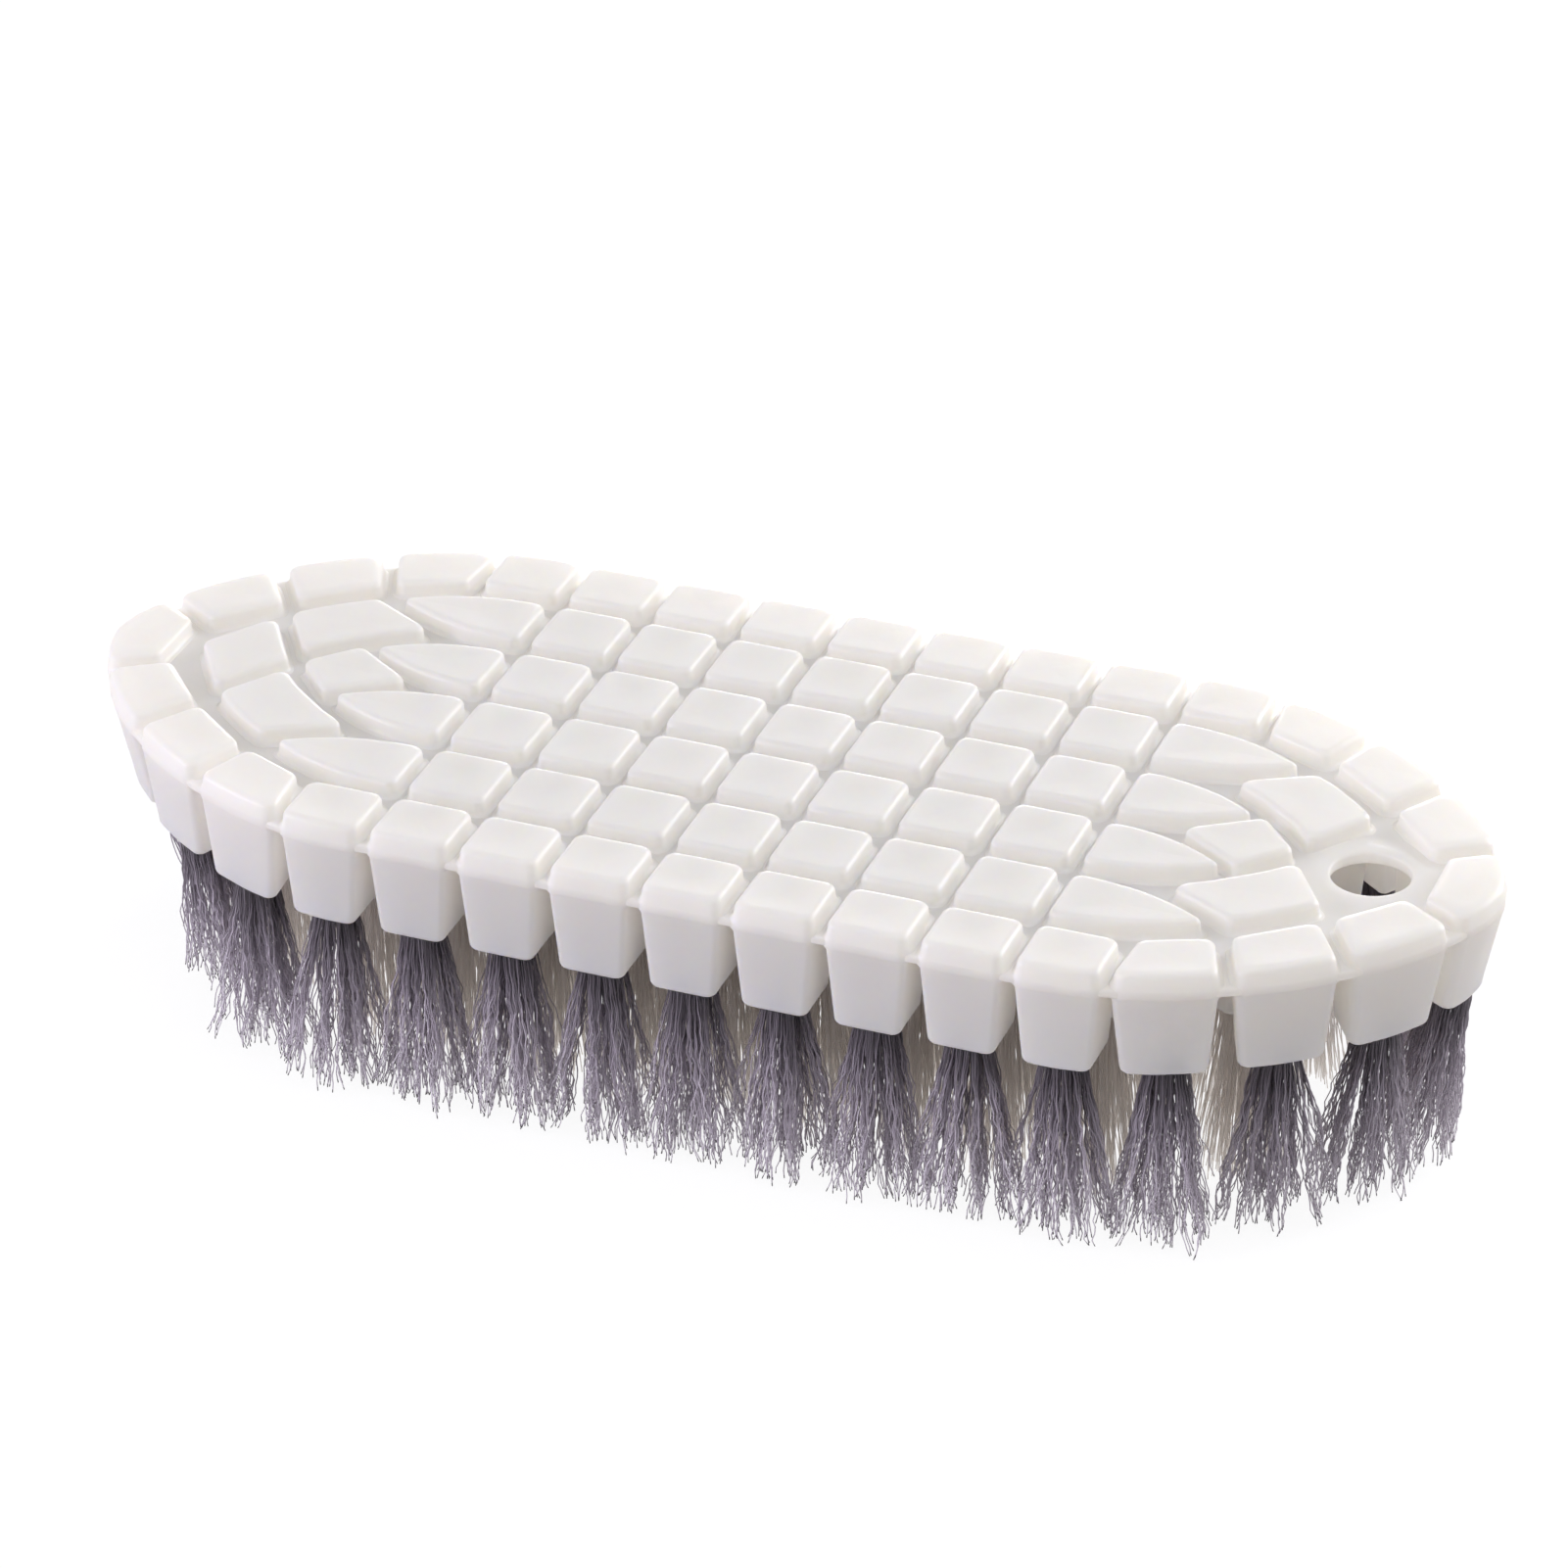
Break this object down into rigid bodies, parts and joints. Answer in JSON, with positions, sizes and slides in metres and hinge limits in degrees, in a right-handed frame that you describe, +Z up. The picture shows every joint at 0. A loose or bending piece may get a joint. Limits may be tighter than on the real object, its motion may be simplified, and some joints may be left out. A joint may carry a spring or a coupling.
{
  "type": "bendable scrub brush",
  "caption": "Oval hand scrub brush with a flexible padded back, a bristle tuft in every peg and a hanging hole at one end.",
  "frame": {"origin": "middle of the brush in plan, on the plane of the bristle tips", "axes": "+X along the brush towards the hanging hole, +Y across it, +Z up from the bristle tips to the padded back"},
  "size_m": [0.1552, 0.0618, 0.0336],
  "materials": {
    "soft_white_plastic": "satin",
    "grey_filament": "matte",
    "white_filament": "matte"
  },
  "bodies": {
    "plain_end": {"plain_end": "soft_white_plastic", "plain_end_tuft_1": "grey_filament", "plain_end_tuft_2": "grey_filament", "plain_end_tuft_3": "grey_filament", "plain_end_tuft_4": "grey_filament", "plain_end_tuft_5": "grey_filament", "plain_end_tuft_6": "grey_filament", "plain_end_tuft_7": "grey_filament", "plain_end_kite_tuft_1": "white_filament", "plain_end_kite_tuft_2": "white_filament", "plain_end_diamond_tuft_1": "white_filament", "plain_end_diamond_tuft_2": "white_filament"},
    "column_1": {"back_column_1": "soft_white_plastic", "front_tuft_1": "grey_filament", "rear_tuft_1": "grey_filament", "leaf_tuft_1_1": "white_filament", "leaf_tuft_1_2": "white_filament", "leaf_tuft_1_3": "white_filament", "leaf_tuft_1_4": "white_filament"},
    "column_2": {"back_column_2": "soft_white_plastic", "front_tuft_2": "grey_filament", "rear_tuft_2": "grey_filament"},
    "column_3": {"back_column_3": "soft_white_plastic", "front_tuft_3": "grey_filament", "rear_tuft_3": "grey_filament"},
    "column_4": {"back_column_4": "soft_white_plastic", "front_tuft_4": "grey_filament", "rear_tuft_4": "grey_filament"},
    "column_5": {"back_column_5": "soft_white_plastic", "front_tuft_5": "grey_filament", "rear_tuft_5": "grey_filament"},
    "column_6": {"back_column_6": "soft_white_plastic", "front_tuft_6": "grey_filament", "rear_tuft_6": "grey_filament"},
    "column_7": {"back_column_7": "soft_white_plastic", "front_tuft_7": "grey_filament", "rear_tuft_7": "grey_filament"},
    "column_8": {"back_column_8": "soft_white_plastic", "front_tuft_8": "grey_filament", "rear_tuft_8": "grey_filament"},
    "column_9": {"back_column_9": "soft_white_plastic", "front_tuft_9": "grey_filament", "rear_tuft_9": "grey_filament", "leaf_tuft_9_1": "white_filament", "leaf_tuft_9_2": "white_filament", "leaf_tuft_9_3": "white_filament", "leaf_tuft_9_4": "white_filament"},
    "hanging_end": {"hanging_end": "soft_white_plastic", "hanging_end_tuft_1": "grey_filament", "hanging_end_tuft_2": "grey_filament", "hanging_end_tuft_3": "grey_filament", "hanging_end_tuft_4": "grey_filament", "hanging_end_tuft_5": "grey_filament", "hanging_end_tuft_6": "grey_filament", "hanging_end_tuft_7": "grey_filament", "hanging_end_kite_tuft_1": "white_filament", "hanging_end_kite_tuft_2": "white_filament", "hanging_end_diamond_tuft_1": "white_filament"}
  },
  "joints": [
    {"name": "bend_column_5_to_column_6", "type": "hinge", "parent": "column_5", "child": "column_6", "pos_m": [0.005, 0, 0.0312], "axis": [0, -1, 0], "range_deg": [-5, 15], "stiffness_Nm_per_rad": 0.15},
    {"name": "bend_column_6_to_column_7", "type": "hinge", "parent": "column_6", "child": "column_7", "pos_m": [0.015, 0, 0.0312], "axis": [0, -1, 0], "range_deg": [-5, 15], "stiffness_Nm_per_rad": 0.15},
    {"name": "bend_column_7_to_column_8", "type": "hinge", "parent": "column_7", "child": "column_8", "pos_m": [0.025, 0, 0.0312], "axis": [0, -1, 0], "range_deg": [-5, 15], "stiffness_Nm_per_rad": 0.15},
    {"name": "bend_column_8_to_column_9", "type": "hinge", "parent": "column_8", "child": "column_9", "pos_m": [0.035, 0, 0.0312], "axis": [0, -1, 0], "range_deg": [-5, 15], "stiffness_Nm_per_rad": 0.15},
    {"name": "bend_column_9_to_hanging_end", "type": "hinge", "parent": "column_9", "child": "hanging_end", "pos_m": [0.04714, 0, 0.0312], "axis": [0, -1, 0], "range_deg": [-5, 15], "stiffness_Nm_per_rad": 0.15},
    {"name": "bend_column_5_to_column_4", "type": "hinge", "parent": "column_5", "child": "column_4", "pos_m": [-0.005, 0, 0.0312], "axis": [0, 1, 0], "range_deg": [-5, 15], "stiffness_Nm_per_rad": 0.15},
    {"name": "bend_column_4_to_column_3", "type": "hinge", "parent": "column_4", "child": "column_3", "pos_m": [-0.015, 0, 0.0312], "axis": [0, 1, 0], "range_deg": [-5, 15], "stiffness_Nm_per_rad": 0.15},
    {"name": "bend_column_3_to_column_2", "type": "hinge", "parent": "column_3", "child": "column_2", "pos_m": [-0.025, 0, 0.0312], "axis": [0, 1, 0], "range_deg": [-5, 15], "stiffness_Nm_per_rad": 0.15},
    {"name": "bend_column_2_to_column_1", "type": "hinge", "parent": "column_2", "child": "column_1", "pos_m": [-0.035, 0, 0.0312], "axis": [0, 1, 0], "range_deg": [-5, 15], "stiffness_Nm_per_rad": 0.15},
    {"name": "bend_column_1_to_plain_end", "type": "hinge", "parent": "column_1", "child": "plain_end", "pos_m": [-0.04714, 0, 0.0312], "axis": [0, 1, 0], "range_deg": [-5, 15], "stiffness_Nm_per_rad": 0.15}
  ]
}
